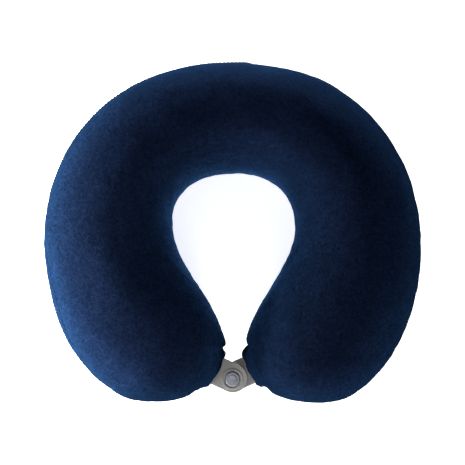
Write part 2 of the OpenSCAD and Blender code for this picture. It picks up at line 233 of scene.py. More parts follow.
# Direction round the middle of the pillow (degrees), how far the outline swells (mm)
UNEVEN = [
    (-180, -0.4), (-170, -0.6), (-160, -0.5), (-154, 0.4), (-148, 0.8), (-143, 0.3),
    (-139, -0.2), (-134, -0.6), (-129, -1.2), (-124, 0.1), (-117, -0.4), (-109, -0.2),
    (-98, 0.0), (-84, 0.0), (-75, 0.5), (-68, 0.8), (-56, 0.8), (-50, -0.9),
    (-45, -2.0), (-41, -1.5), (-34, -0.4), (-25, 0.1), (-15, 0.5), (-8, 0.2),
    (0, -1.3), (10, -1.9), (20, -2.3), (30, -2.1), (38, -1.9), (45, -1.0),
    (54, 0.1), (62, 0.8), (70, 0.9), (80, 0.3), (90, 0.3), (100, 0.6),
    (110, 0.9), (118, 0.7), (128, 0.0), (140, -0.2), (150, -0.3), (160, -0.9),
    (170, -1.1), (180, -0.4),
]


def lean(points):
    """Makes the pillow a little uneven: the front and the hole sit towards +X,
    and the outline swells and draws in here and there."""
    leaned = points.copy()
    x, y = points[..., 0], points[..., 1]
    at_tabs = spot(np.abs(x), y, at=(13.0, -117.0), width=15.0, height=0.62)
    hole = ramp(np.abs(x), 112, -55.0) * ramp(y, 22, -28.0) * ramp(y, -92, 45.0)
    leaned[..., 0] += 2.5 * ramp(y, 10, -130.0) * (1 - at_tabs) + 1.15 * hole
    radius = np.hypot(x, y)
    angles, swells = zip(*UNEVEN)
    swell = np.interp(np.degrees(np.arctan2(y, x)), angles, swells) * ramp(radius, 100.0, 42.0)
    leaned[..., 0] += swell * x / np.maximum(radius, 1.0)
    leaned[..., 1] += swell * y / np.maximum(radius, 1.0)
    return leaned


def seam_rise(station, side):
    """Height of a seam above the zip level."""
    station = np.asarray(station, float)
    away = np.abs(station)
    left = station < 0
    if side == OUTER:
        left_hump = np.where(left, ramp(away, 0.275, 0.24) * ramp(away, 0.98, -0.30), 0)
        right_hump = np.where(station > 0, ramp(away, 0.05, 0.20) * ramp(away, 0.66, -0.32), 0)
        wander = np.where(left, left_hump, np.where(away > ZIP_RIGHT, right_hump, 0))
        rise = 19.0 * left_hump + 16.5 * right_hump
        return rise + 1.2 * np.sin(9.0 * station + 1.0) * wander
    tab = tab_zone(station)
    wander = (1 - tab) * 1.5 * np.sin(6 * station) * ramp(away, 1, -0.1)
    return np.where(left, TAB_MIDDLE, -TAB_MIDDLE) * tab + wander


def seam_gap(station, side):
    """Half height of the opening in a seam, for the zip or a tab."""
    if side == OUTER:
        return -0.16 + 4.52 * zip_zone(station)
    return -0.16 + 1.08 * tab_zone(station)


def section(station, angle):
    """Point of the fabric at a station and an angle round the section
    (0 outer edge, 90 top, 180 inner edge, 270 bottom)."""
    away = np.abs(station)
    middle, half_width, direction = cross_axis(away)
    across = signed_power(cosd(angle), 2 / SECTION_POWER)
    sine = sind(angle)
    height = np.where(sine >= 0, top_rise(away), BOTTOM_DROP) * tip_height(away)
    z = SEAM + height * signed_power(sine, 2 / SECTION_POWER)
    # fabric lying on the floor bends softly instead of making a knife edge
    soft = 5.0
    z = np.where(z < soft, np.maximum(0.0, (z + soft) ** 2 / (4 * soft)) * (z > -soft), z)
    place = middle + direction * (half_width * across)[..., None]
    return np.stack([np.where(station < 0, -1.0, 1.0) * place[..., 0], place[..., 1], z], -1)


def tip_poles():
    """The left and right end points where a panel closes."""
    return section(np.array([-1.0, 1.0]), np.zeros(2))


# ----------------------------------------------------------- mesh helpers
def up_double(grid, axis):
    """Doubles the grid along an axis with a cubic midpoint rule."""
    grid = np.moveaxis(grid, axis, 0)
    count = len(grid)
    before = grid[np.maximum(np.arange(count - 1) - 1, 0)]
    after = grid[np.minimum(np.arange(count - 1) + 2, count - 1)]
    doubled = np.empty((2 * count - 1,) + grid.shape[1:])
    doubled[0::2] = grid
    doubled[1::2] = (-before + 9 * grid[:-1] + 9 * grid[1:] - after) / 16
    return np.moveaxis(doubled, 0, axis)


def panel_normals(grid, top):
    """Unit normals of a panel, pointing out of the pillow."""
    normal = np.cross(np.gradient(grid, axis=0), np.gradient(grid, axis=1))
    normal = normal / np.maximum(np.linalg.norm(normal, axis=-1), 1e-9)[..., None]
    middle = normal[grid.shape[0] // 2, grid.shape[1] // 2, 2]
    return -normal if (middle > 0) != top else normal


def make_mesh(name, verts, faces):
    mesh = bpy.data.meshes.new(name)
    verts = np.asarray(verts, float) * MM
    mesh.from_pydata(verts.tolist(), [], [tuple(int(i) for i in face) for face in faces])
    mesh.validate()
    mesh.update()
    mesh.polygons.foreach_set("use_smooth", [True] * len(mesh.polygons))
    piece = bpy.data.objects.new(name, mesh)
    scene.collection.objects.link(piece)
    return piece


def face_up(verts, faces, up):
    """Turns all faces round if their summed normal doesn't point up (1) or down (-1)."""
    verts = np.asarray(verts, float)
    corner = np.array([list(face[:3]) for face in faces])
    start = verts[corner[:, 0]]
    normal = np.cross(verts[corner[:, 1]] - start, verts[corner[:, 2]] - start)
    return [face[::-1] for face in faces] if normal[:, 2].sum() * up < 0 else faces


def face_out(verts, faces):
    """Faces of a closed mesh, turned to give it a positive volume."""
    verts = np.asarray(verts, float)
    volume = 0.0
    for face in faces:
        for k in range(1, len(face) - 1):
            volume += np.dot(verts[face[0]], np.cross(verts[face[k]], verts[face[k + 1]]))
    return [face[::-1] for face in faces] if volume < 0 else faces


def grid_faces(rows, columns, base=0, closed=False):
    i = np.arange(rows - 1)[:, None]
    j = np.arange(columns if closed else columns - 1)[None, :]
    near = base + i * columns
    far = base + (i + 1) * columns
    after = (j + 1) % columns
    quads = np.stack([near + j, far + j, far + after, near + after], -1).reshape(-1, 4)
    return [tuple(quad) for quad in quads.tolist()]


def panel_faces(rows, columns, base, pole):
    """Faces of an open grid, with fans to the two poles at its ends."""
    faces = grid_faces(rows, columns, base)
    for j in range(base, base + columns - 1):
        last = j + (rows - 1) * columns
        faces.append((pole, j, j + 1))
        faces.append((pole + 1, last + 1, last))
    return faces


def capped_sweep(grid, start, end):
    """Closed body from rings of points, with a fan to a point at each end."""
    rows, ring = grid.shape[:2]
    count = rows * ring
    verts = np.concatenate([grid.reshape(-1, 3), [start, end]])
    faces = grid_faces(rows, ring, closed=True)
    for j in range(ring):
        after = (j + 1) % ring
        faces.append((count, j, after))
        faces.append((count + 1, count - ring + after, count - ring + j))
    return verts, face_out(verts, faces)


def join(parts):
    verts, faces, base = [], [], 0
    for part_verts, part_faces in parts:
        verts.append(part_verts)
        faces += [tuple(i + base for i in face) for face in part_faces]
        base += len(part_verts)
    return np.concatenate(verts), faces


def register(piece, carrier, slot, *replaced):
    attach(piece, carrier)
    if replaced:
        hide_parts(*replaced)


def thicken(piece, thickness):
    solid = piece.modifiers.new("thickness", "SOLIDIFY")
    solid.thickness = thickness
    solid.offset = -1


# ---------------------------------------------------- velour cover panels
BACK_STEPS, SIDE_STEPS, TIP_STEPS, PANEL_ROWS = 27, 24, 28, 47
ROLL = 1.7  # the panel edge starts to roll into the seam this far from it
EDGE_ROWS = [  # how far from the panel edge (mm), height over the slot edge (mm)
    (0.10, 1.15), (0.42, 0.62), (1.0, 0.26), (1.9, 0.10), (3.4, 0.05),
]


def panel_stations():
    back = BACK_END * np.linspace(0, 1, BACK_STEPS + 1)
    side = BACK_END + (SIDE_END - BACK_END) * np.linspace(0, 1, SIDE_STEPS + 1)[1:]
    angle = 90 * np.linspace(0, 1, TIP_STEPS + 1)[1:] ** 0.95
    tip = tip_station(np.minimum(angle, LAST_TIP_ANGLE))
    half = np.concatenate([back, side, tip])
    return np.concatenate([-half[:0:-1], half])


def angle_at(station, rise, side):
    """Section angle at which the surface is this far above the seam level."""
    away = np.abs(station)
    height = np.where(rise >= 0, top_rise(away), BOTTOM_DROP) * tip_height(away)
    part = np.clip(np.abs(rise) / np.maximum(height, 1e-6), 0, 0.6)
    angle = np.degrees(np.arcsin(part ** (SECTION_POWER / 2))) * np.sign(rise)
    return angle if side == OUTER else 180 - angle


def panel_grid(station, top):
    """Grid [station, row, xyz] of one panel, its rows from the outer to the inner edge."""
    up = 1 if top else -1
    start, end = (
        angle_at(station, seam_rise(station, side) + up * (seam_gap(station, side) + ROLL), side)
        for side in (OUTER, INNER)
    )
    if not top:
        start = start + 360
    part = np.linspace(0, 1, PANEL_ROWS)
    part = part - 0.62 * np.sin(2 * np.pi * part) / (2 * np.pi)  # closer rows at the edges
    angle = start[:, None] + (end - start)[:, None] * part[None, :]
    return section(np.repeat(station[:, None], PANEL_ROWS, 1), angle)


CLOTH = dict(
    quality=6,
    mass=0.25,
    tension_stiffness=22,
    compression_stiffness=22,
    shear_stiffness=12,
    bending_stiffness=0.8,
    vertex_group_mass="hold",
    pin_stiffness=8,
    shrink_min=-0.022,
    use_pressure=True,
    uniform_pressure_force=3.2,
)
CLOTH_RUN, CLOTH_CACHE = 18, 22  # last frame run, last frame of the cache
FLOOR_HOLD = 0.6  # pin weight of the fabric on the floor


def run_cloth(grids):
    """Runs the two panels as cloth under pressure, held at their edges and on
    the floor, and returns how far each point moved."""
    rows, columns = grids.shape[1:3]
    count = rows * columns
    verts = np.concatenate([grids.reshape(-1, 3), tip_poles()])
    faces = []
    for k, up in enumerate((1, -1)):
        faces += face_up(verts, panel_faces(rows, columns, k * count, 2 * count), up)
    sheet = make_mesh("cloth_run", verts, faces)
    hold = sheet.vertex_groups.new(name="hold")
    index = np.arange(count).reshape(rows, columns)
    edge = np.concatenate([index[:, 0], index[:, -1], index[0], index[-1]])
    edge = np.concatenate([edge, edge + count, [2 * count, 2 * count + 1]])
    hold.add(edge.tolist(), 1.0, "REPLACE")
    hold.add(np.nonzero(verts[:, 2] < 0.02)[0].tolist(), FLOOR_HOLD, "REPLACE")
    cloth = sheet.modifiers.new("cloth", "CLOTH")
    for name, value in CLOTH.items():
        setattr(cloth.settings, name, value)
    cloth.settings.effector_weights.gravity = 0
    cloth.collision_settings.use_collision = False
    cloth.collision_settings.use_self_collision = False
    cloth.point_cache.frame_start = 1
    cloth.point_cache.frame_end = CLOTH_CACHE
    for k in range(1, CLOTH_RUN + 1):
        scene.frame_set(k)
    graph = bpy.context.evaluated_depsgraph_get()
    result = sheet.evaluated_get(graph).to_mesh()
    moved = np.empty(len(result.vertices) * 3)
    result.vertices.foreach_get("co", moved)
    moved = moved.reshape(-1, 3) * 1000
    sheet.evaluated_get(graph).to_mesh_clear()
    scene.frame_set(1)
    bpy.data.objects.remove(sheet)
    return (moved - verts)[: 2 * count].reshape(grids.shape)


def tension(top_grid, bottom_grid):
    """Lets the fabric take up its own tension, within soft limits that keep
    it clear of the filling, and returns the two grids."""
    grids = np.stack([top_grid, bottom_grid])
    moves = run_cloth(grids)
    results = []
    for grid, move, top in zip(grids, moves, (True, False)):
        normal = panel_normals(grid, top)
        along = (move * normal).sum(-1)
        slip = move - along[..., None] * normal
        length = run_length(grid)
        fade = ramp(length, 0, 26.0) * ramp(length[:, -1:] - length, 0, 26.0)
        along = np.where(along > 0, 1.5, 1.0) * np.tanh(along / 3.0)
        size = np.linalg.norm(slip, axis=-1)
        slip *= (np.minimum(size, 1.5) / np.maximum(size, 1e-9))[..., None]
        result = grid + (normal * along[..., None] + slip) * fade[..., None]
        z, rest_z = result[..., 2], grid[..., 2]
        result[..., 2] = np.where(rest_z < 8, np.minimum(z, rest_z + 0.6), z)
        results.append(result)
    return results


lump = waves(3, 14, 85)
small_lump = waves(4, 16, 34)
fine_lump = waves(5, 20, 12)
puckers = [waves(21 + k, 12, 15, 1) for k in range(4)]
fine_puckers = [waves(41 + k, 12, 7, 1) for k in range(4)]


def puckering(station, side, top, strength, fine_strength):
    """Random ripple along one edge of a panel."""
    path = (outer if side == OUTER else inner)(np.abs(station))
    path = path * np.stack([np.where(station < 0, -1, 1), np.ones_like(station)], -1)
    length = run_length(path)[:, None]
    k = side if top else side + 2
    return (strength * puckers[k](length) + fine_strength * fine_puckers[k](length))[:, None]


def soften(grid, normal, station, top):
    """Adds the soft lumps and the puckers at the seams."""
    off_floor = np.clip(grid[..., 2] / 9.0, 0, 1)
    from_outer = run_length(grid)
    from_inner = from_outer[:, -1:] - from_outer
    push = 0.55 * lump(grid) + 0.22 * small_lump(grid) + 0.03 * fine_lump(grid)
    edge = np.minimum(1, from_outer / 6) * np.minimum(1, from_inner / 6)
    push *= 0.35 + 0.65 * edge
    taut = 1 - 0.6 * zip_zone(station)[:, None]
    ripple = puckering(station, OUTER, top, strength=0.17, fine_strength=0.08)
    fade = np.exp(-from_outer / 8.0) * (1 - np.exp(-(from_outer + 0.6) / 1.2))
    push += ripple * fade * taut
    away = np.abs(station)
    tabs = ramp(away, tip_station(-16), 0.05) * ramp(away, tip_station(62), -0.04)
    ripple = puckering(station, INNER, top, strength=0.20, fine_strength=0.10)
    fade = np.exp(-from_inner / 7.0) * (1 - np.exp(-(from_inner + 0.6) / 1.2))
    push += ripple * fade * (1 + 1.3 * tabs)[:, None]
    grid = grid + normal * (push * (0.15 + 0.85 * off_floor))[..., None]
    grid[..., 2] = np.maximum(grid[..., 2], 0.0)
    return grid


def add_folds(grid, normal, top):
    x, y, z = grid[..., 0], grid[..., 1], grid[..., 2]
    push = np.zeros_like(x)
    if top:
        # soft fold that runs beside the inner edge of the right arm
        part = (y + 74.0) / -34.0
        fold_x = 25.5 - 6.0 * ramp(part, 0, 1) + 3.0 * ramp(part, 0.55, 1)
        along = ramp(part, -0.25, 0.35) * ramp(part, 1.25, -0.35)
        push += bell(x, at=fold_x, width=1.7, height=0.75) * along
        push -= bell(x, at=fold_x + 3.6, width=2.2, height=0.55) * along
    # small bulge of the back seam near the right end of the zip
    bulge = bell(x, at=10.3, width=4.6, power=4) * (y > 100) * bell(z, at=SEAM, width=8.0)
    push += 1.25 * bulge
    # short tension folds that fan out of the tab slots
    for x_sign, seed in ((-1, 71), (1, 72)):
        slot_x, slot_y = x_sign * 14.0, -118.0
        radius = np.hypot(x - slot_x, y - slot_y)
        angle = np.arctan2(y - slot_y, (x - slot_x) * x_sign)
        fan = waves(seed, 5, 0.55, 1)(angle[..., None])
        near = np.exp(-np.abs(z - SEAM) / 16.0) * bell(radius, width=24.0) * ramp(radius, 5, 6)
        push += 0.5 * fan * near
    return grid + normal * push[..., None]


def add_lips(grid, station, up):
    """Gathers the fabric into a rolled lip above and below each tab: the inner
    edge puckers where the lip starts and the panel falls into a groove behind it."""
    x, y, z = grid[..., 0], grid[..., 1], grid[..., 2]
    away = np.abs(station)
    left = station < 0
    x_sign = np.where(left, -1.0, 1.0)
    height = (z - SEAM - seam_rise(station, INNER)) * up
    inside = np.abs(x) < cross_axis(away)[0][..., 0]
    near = inside * ramp(away, SIDE_END - 0.06, 0.03)
    notch = np.where(
        left,
        bell(y, at=-98.4, width=2.1, height=3.5) - bell(y, at=-92.5, width=4.2, height=1.1),
        bell(y, at=-95.4, width=2.0, height=1.9),
    )
    swell = np.where(
        left,
        bell(y, at=-103, width=3.8, height=0.9, power=4),
        bell(y, at=-103, width=5.2, height=2.3, power=4),
    )
    span = ramp(y, np.where(left, -97.0, -94.0), -4.5) * ramp(y, -124.0, 15.0)
    groove = 2.1 * span * ramp(height, 2.6, 3.6) * np.exp(-np.maximum(height - 6.5, 0) / 45.0)
    shift = notch * bell(height, width=15.0) - swell * bell(height, width=5.5) + groove
    # small gathers in the panel beside the base of each tab
    gather = np.where(
        left,
        spot(x, y, at=(-21.5, -129.0), width=2.4, height=0.5),
        spot(x, y, at=(20.8, -127.6), width=4.0, height=3.5),
    )
    hollow = np.where(
        left,
        spot(x, y, at=(-29.5, -134.0), width=5.6, height=3.1),
        spot(x, y, at=(28.4, -132.6), width=3.6, height=2.0),
    )
    gather = gather * bell(height, width=7.0) - hollow * bell(height, width=24.0)
    lipped = grid.copy()
    lipped[..., 0] += x_sign * shift * near - x_sign * gather * 0.45
    lipped[..., 1] -= gather * 0.85
    lipped[..., 2] -= up * span * bell(height, at=6.8, width=2.2, height=1.3) * near
    return lipped


def rolled_edge(grid, station, side, up):
    """Short rows that turn from the panel edge into the seam."""
    edge = grid[:, 0] if side == OUTER else grid[:, -1]
    _, half_width, direction = cross_axis(np.abs(station))
    inward = -direction if side == OUTER else direction
    inward[:, 0] *= np.where(station < 0, -1, 1)
    limit = np.minimum(1, half_width / 7)
    level = SEAM + seam_rise(station, side) + up * seam_gap(station, side)
    squeeze = np.minimum(1, np.abs(edge[:, 2] - level) / ROLL)
    rows = []
    for inset, rise in EDGE_ROWS:
        row = edge.copy()
        row[:, :2] += inward * (inset * limit)[:, None]
        row[:, 2] = level + up * rise * squeeze
        rows.append(row)
    return rows


def cover_panel(name, grid, top):
    """Builds a panel; returns it and its grid without the rolled edges."""
    up = 1 if top else -1
    stations = np.repeat(panel_stations()[:, None], PANEL_ROWS, 1)
    for axis in (0, 1):
        grid, stations = up_double(grid, axis), up_double(stations, axis)
    grid[..., 2] = np.maximum(grid[..., 2], 0.0)
    station = stations[:, 0]
    normal = panel_normals(grid, top)
    grid = soften(grid, normal, station, top)
    grid = add_lips(lean(add_folds(grid, normal, top)), stations, up)
    outer_rows = rolled_edge(grid, station, OUTER, up)
    inner_rows = rolled_edge(grid, station, INNER, up)
    full = np.concatenate([np.stack(outer_rows[::-1], 1), grid, np.stack(inner_rows, 1)], 1)
    rows, columns = full.shape[:2]
    poles = lean(tip_poles())
    poles[:, 2] += up * 0.1
    verts = np.concatenate([full.reshape(-1, 3), poles])
    faces = panel_faces(rows, columns, 0, rows * columns)
    panel = make_mesh(name, verts, face_up(verts, faces, up))
    thicken(panel, 0.001)
    return panel, grid


top_flat, bottom_flat = (panel_grid(panel_stations(), top) for top in (True, False))
top_flat, bottom_flat = tension(top_flat, bottom_flat)
cover_top, top_cover_grid = cover_panel("cover_panel_top", top_flat, True)
cover_bottom, bottom_cover_grid = cover_panel("cover_panel_bottom", bottom_flat, False)
register(cover_top, "pillow", "velour", "cover_top")
register(cover_bottom, "pillow", "velour", "cover_bottom")


# ----------------------------------------------- hidden filling and liner
def mirrored_stations(last, count):
    return np.concatenate([-np.linspace(last, 0, count), np.linspace(0, last, count)[1:]])


def layer_grid(station, angle, depth, lowest, seam_cut, zip_cut, lip_cut):
    """Grid of the pillow's own shape, this far inside it; the cuts are how far
    it draws back from the seams, the zip and the lips at the tabs."""
    away = np.abs(station)
    middle, half_width, direction = cross_axis(away, depth)
    across = signed_power(cosd(angle), 2 / SECTION_POWER)[None, :]
    sine = sind(angle)[None, :]
    height = np.where(sine >= 0, top_rise(away)[:, None], BOTTOM_DROP) - depth
    height = height * tip_height(away)[:, None]
    z = np.maximum(SEAM + height * signed_power(sine, 2 / SECTION_POWER), lowest)
    seam = np.where(across > 0, seam_rise(station, OUTER)[:, None],
                    seam_rise(station, INNER)[:, None])
    cut = bell(z - SEAM - seam, width=3.4, height=seam_cut)
    outside = np.where(across > 0, zip_cut, 0) * zip_room(station)[:, None]
    cut = cut + outside * bell(z, at=SEAM, width=14.0)
    inside = np.where(across < 0, lip_cut, 0) * lip_zone(station)[:, None]
    cut = np.minimum(cut + inside * bell(z, at=SEAM, width=30.0), 0.5 * half_width[:, None])
    reach = half_width[:, None] * across - np.sign(across) * cut
    place = middle[:, None] + direction[:, None] * reach[..., None]
    x_sign = np.where(station < 0, -1, 1)[:, None]
    return np.stack([x_sign * place[..., 0], place[..., 1], z], -1)


def filling():
    lowest = 3.6
    grid = layer_grid(mirrored_stations(0.972, 80), np.linspace(0, 360, 44, endpoint=False),
                      depth=5.2, lowest=lowest, seam_cut=3.0, zip_cut=5.5, lip_cut=6.5)
    grid = grid + (0.5 * lump(grid))[..., None] * np.array([0.5, 0.5, 0.3])
    grid[..., 2] = np.maximum(grid[..., 2], lowest)
    grid = lean(grid)
    return make_mesh("foam_block", *capped_sweep(grid, grid[0].mean(0), grid[-1].mean(0)))


def liner_sheet(name, up):
    station = mirrored_stations(0.985, 70)
    angle = up * (1.0 + 178 * np.linspace(0, 1, 30))
    grid = layer_grid(station, angle, depth=3.0, lowest=2.2,
                      seam_cut=2.2, zip_cut=5.2, lip_cut=6.3)
    grid[..., 2] += np.where(grid[..., 2] > 5, 0.5, 0) * lump(grid)
    verts = lean(grid).reshape(-1, 3)
    sheet = make_mesh(name, verts, face_up(verts, grid_faces(len(station), len(angle)), up))
    thicken(sheet, 0.0005)
    return sheet


foam = filling()
register(foam, "pillow", "foam", "foam_core")
liners = [liner_sheet("liner_sheet_top", 1), liner_sheet("liner_sheet_bottom", -1)]
for liner, node in zip(liners, ("liner_top", "liner_bottom")):
    register(liner, "pillow", "liner", node)


# --------------------------------------------------------------- stitches
def tangents(path):
    tangent = np.gradient(path, axis=0)
    return tangent / np.maximum(np.linalg.norm(tangent, axis=1), 1e-9)[:, None]


def tube(path, normal, high, wide, ring):
    """Closed swept tube with one radius along the given normal and one across it."""
    tangent = tangents(path)
    normal = normal - (normal * tangent).sum(1)[:, None] * tangent
    normal /= np.maximum(np.linalg.norm(normal, axis=1), 1e-9)[:, None]
    side = np.cross(tangent, normal)
    high = np.broadcast_to(high, len(path))[:, None]
    wide = np.broadcast_to(wide, len(path))[:, None]
    angle = np.linspace(0, 2 * np.pi, ring, endpoint=False)
    grid = (path[:, None] + normal[:, None] * (high * np.cos(angle))[..., None]
            + side[:, None] * (wide * np.sin(angle))[..., None])
    return capped_sweep(grid, path[0], path[-1])


def stitch_row(path, normal, length, gap, radius, sink, seed):
    """A row of short stitches, each dipping into the fabric at its ends."""
    run = run_length(path)
    random = np.random.default_rng(seed)
    part = np.linspace(0, 1, 6)
    arch = np.sin(np.pi * part)
    parts = []
    start = 1.0
    while start + length < run[-1] - 1.0:
        points = resample(path, run, start + part * length)
        outward = resample(normal, run, start + part * length)
        # rounding can leave the last sine just below zero, which the power can't take; nothing
        # here clamps it
        lift = (arch**0.6)[:, None] * (radius * 0.9) - sink * (1 - arch)[:, None]
        points = points + outward * lift
        points += random.normal(0, 0.03, 3)
        width = radius * (0.72 + 0.28 * arch)
        parts.append(tube(points, outward, width * 0.85, width, 6))
        start += length + gap
    return join(parts)


def seam_line(side):
    """The line where the two panels meet, and its normals out of the ring."""
    column = 0 if side == OUTER else -1
    path = (top_cover_grid[:, column] + bottom_cover_grid[:, column]) / 2
    tangent = tangents(path)
    normal = np.stack([tangent[:, 1], -tangent[:, 0], 0 * tangent[:, 0]], 1)
    middle = top_cover_grid[:, top_cover_grid.shape[1] // 2]
    sign = np.sign(((path - middle) * normal).sum(1))
    normal *= np.where(sign == 0, 1, sign)[:, None]
    return path, normal / np.maximum(np.linalg.norm(normal, axis=1), 1e-9)[:, None]


cover_station = up_double(panel_stations(), 0)


def seam_stitches():
    """Stitches along both seams, left out at the zip and the tabs."""
    parts = []
    for side, zone, seed in ((OUTER, zip_zone, 5), (INNER, tab_zone, 6)):
        path, normal = seam_line(side)
        path = path - normal * 0.95
        sewn = np.nonzero(zone(cover_station) < 0.02)[0]
        for run in np.split(sewn, np.nonzero(np.diff(sewn) > 1)[0] + 1):
            if len(run) > 6:
                parts.append(stitch_row(path[run], normal[run], length=2.7, gap=0.5,
                                        radius=0.34, sink=0.5, seed=seed))
    return make_mesh("seam_stitches", *join(parts))


def zip_stitches():
    """A row of stitches on each panel, beside the zip slot."""
    from_slot = 2.6
    nearest = 30  # rows searched from the outer edge
    parts = []
    for grid, top, seed in ((top_cover_grid, True, 10), (bottom_cover_grid, False, 9)):
        normals = panel_normals(grid, top)
        path, outward = [], []
        for i in np.nonzero(zip_zone(cover_station) >= 0.35)[0]:
            row = grid[i, :nearest]
            run = run_length(row)
            path.append(resample(row, run, [from_slot])[0])
            outward.append(resample(normals[i, :nearest], run, [from_slot])[0])
        parts.append(stitch_row(np.array(path), np.array(outward), length=2.6, gap=0.7,
                                radius=0.30, sink=0.35, seed=seed))
    return make_mesh("zip_topstitch", *join(parts))


seam_thread = seam_stitches()
register(seam_thread, "pillow", "navy_thread", "cover_thread")
zip_thread = zip_stitches()
register(zip_thread, "pillow", "navy_thread")

# -------------------------------------------------------------------- zip
ZIP_X, ZIP_Y, ZIP_RADIUS = -7.86019, -15.6022, 155.614  # arc the zip lies on
ZIP_DEGREES_PER_MM = 0.368191
ZIP_START, ZIP_END = 81.031, 134.535  # angles of the right and left ends of the coil
COIL_OUT, COIL_RISE = 0.90, 1.53  # middle of a coil half: out from the arc, off the seam

# (out from the arc, off the seam level), going round the section
TAPE_PROFILE = [
    (0.18, 1.15), (0.36, 1.25), (0.42, 1.6), (0.24, 2.1), (0.20, 5.0), (0.22, 8.2),
    (0.30, 8.8), (0.12, 9.0), (-0.12, 9.0), (-0.26, 8.8), (-0.22, 8.2), (-0.20, 5.0),
    (-0.22, 2.1), (-0.30, 1.5), (-0.16, 1.15),
]
GUARD_PROFILE = [
    (-1.75, -8.6), (-1.62, -8.2), (-1.60, -4.0), (-1.66, 0.0), (-1.60, 4.0), (-1.62, 8.2),
    (-1.75, 8.6), (-2.15, 8.6), (-2.28, 8.0), (-2.30, 4.0), (-2.34, 0.0), (-2.30, -4.0),
    (-2.28, -8.0), (-2.15, -8.6),
]


def on_zip(angle, out, rise):
    angle = np.asarray(angle, float)
    radius = ZIP_RADIUS + out
    return np.stack([ZIP_X + radius * cosd(angle), ZIP_Y + radius * sind(angle),
                     SEAM + rise + 0 * angle], -1)


def zip_tape(name, up):
    angle = np.linspace(ZIP_START - 8.6, ZIP_END + 11.6, 150)
    grid = np.stack([on_zip(angle, out, up * rise) for out, rise in TAPE_PROFILE], 1)
    grid[..., 2] += 0.08 * np.sin(angle * 5.3)[:, None]
    return make_mesh(name, *capped_sweep(grid, grid[0].mean(0), grid[-1].mean(0)))


def zip_guard():
    """Velour strip behind the zip, closing the view to the liner."""
    angle = np.linspace(ZIP_START - 9.5, ZIP_END + 12.0, 160)
    grid = np.stack([on_zip(angle, out, rise) for out, rise in GUARD_PROFILE], 1)
    start, end = grid[0].mean(0), grid[-1].mean(0)
    ripple = np.minimum(0.10 * waves(91, 10, 14)(grid), 0.12)
    outward = (grid - np.array([ZIP_X, ZIP_Y, 0]))[..., :2]
    outward /= np.linalg.norm(outward, axis=-1)[..., None]
    grid[..., :2] += outward * ripple[..., None]
    return make_mesh("zip_guard_strip", *capped_sweep(grid, start, end))


def zip_coil(name, up):
    """Half of the nylon coil: flattened loops, and the cord through them."""
    pitch = 1.7 * ZIP_DEGREES_PER_MM
    turns = int((ZIP_END - ZIP_START) / pitch)
    turn = np.linspace(0, turns, turns * 14 + 1)
    angle = ZIP_START + 0.12 + turn * pitch + (0.5 * pitch if up < 0 else 0)
    angle = np.minimum(angle, ZIP_END - 0.05)
    phase = 2 * np.pi * turn
    loops = on_zip(angle, COIL_OUT + 0.42 * np.sin(phase),
                   up * (COIL_RISE + 0.92 * np.cos(phase)))
    middle = on_zip(angle, COIL_OUT, up * COIL_RISE)
    cord = on_zip(np.linspace(ZIP_START + 0.2, ZIP_END - 0.2, 260), 0.95, up * 1.5)
    upward = np.tile([0, 0, 1.0], (len(cord), 1))
    parts = [
        tube(loops, loops - middle, high=0.23, wide=0.23, ring=6),
        tube(cord, upward, high=0.42, wide=0.3, ring=6),
    ]
    return make_mesh(name, *join(parts))


tapes, coils = [], []
for level, up in (("upper", 1), ("lower", -1)):
    tapes.append(zip_tape(f"zip_tape_{level}_woven", up))
    register(tapes[-1], "pillow", "zip_tape", f"zip_tape_{level}")
guard_strip = zip_guard()
register(guard_strip, "pillow", "velour")
for level, up in (("upper", 1), ("lower", -1)):
    coils.append(zip_coil(f"zip_coil_{level}_loops", up))
    register(coils[-1], "pillow", "zip_coil", f"zip_coil_{level}")

# -------------------------------------------------------- tabs and snap
STRAP_LENGTH = TAB_HINGE + 5.2
STRAP_ROUND = 0.62  # edge radius
EDGE_RINGS, FILL_RINGS = 9, 26


def strap_rings(x_sign, low, high):
    """Rings of a strap as (along, across, z) in its own axes: the rounded edge,
    then the upper and the lower face, shrinking to the middle line."""
    half = TAB_WIDTH / 2
    straight = np.linspace(STRAP_LENGTH, 0, 26)[:-1]
    turn = np.linspace(90, 270, 57)
    flat = np.zeros(len(straight))
    along = np.concatenate([straight, half * cosd(turn), straight[::-1]])
    across = np.concatenate([flat + half, half * sind(turn), flat - half])
    along_out = np.concatenate([flat, cosd(turn), flat])
    across_out = np.concatenate([flat + 1, sind(turn), flat - 1])
    rings = []
    for angle in np.linspace(-90, 90, EDGE_RINGS):
        inset = STRAP_ROUND * (cosd(angle) - 1)
        z = ((high + low) / 2 + np.sign(angle) * ((high - low) / 2 - STRAP_ROUND)
             + STRAP_ROUND * sind(angle))
        rings.append((along + along_out * inset, across + across_out * inset, z + 0 * along))
    edge_along, edge_across, _ = rings[0]
    line_along = np.clip(edge_along, 0.0, STRAP_LENGTH)
    for z, up in ((high, 1), (low, -1)):
        for k in range(FILL_RINGS):
            part = 0.03 + 0.90 * k / 25
            ring_along = edge_along + (line_along - edge_along) * part
            ring_across = edge_across * (1 - part)
            radius = np.hypot(ring_along, ring_across + TAB_OFFSET)
            # only the face away from the other tab has the low pad and its dish
            pad = 0.42 * (1 - ramp(radius, 8.6, 1.0)) - 0.62 * (1 - ramp(radius, 6.9, 0.7))
            outside = (x_sign < 0) == (up > 0)
            rings.append((ring_along, ring_across, z + up * pad * outside))
    return rings


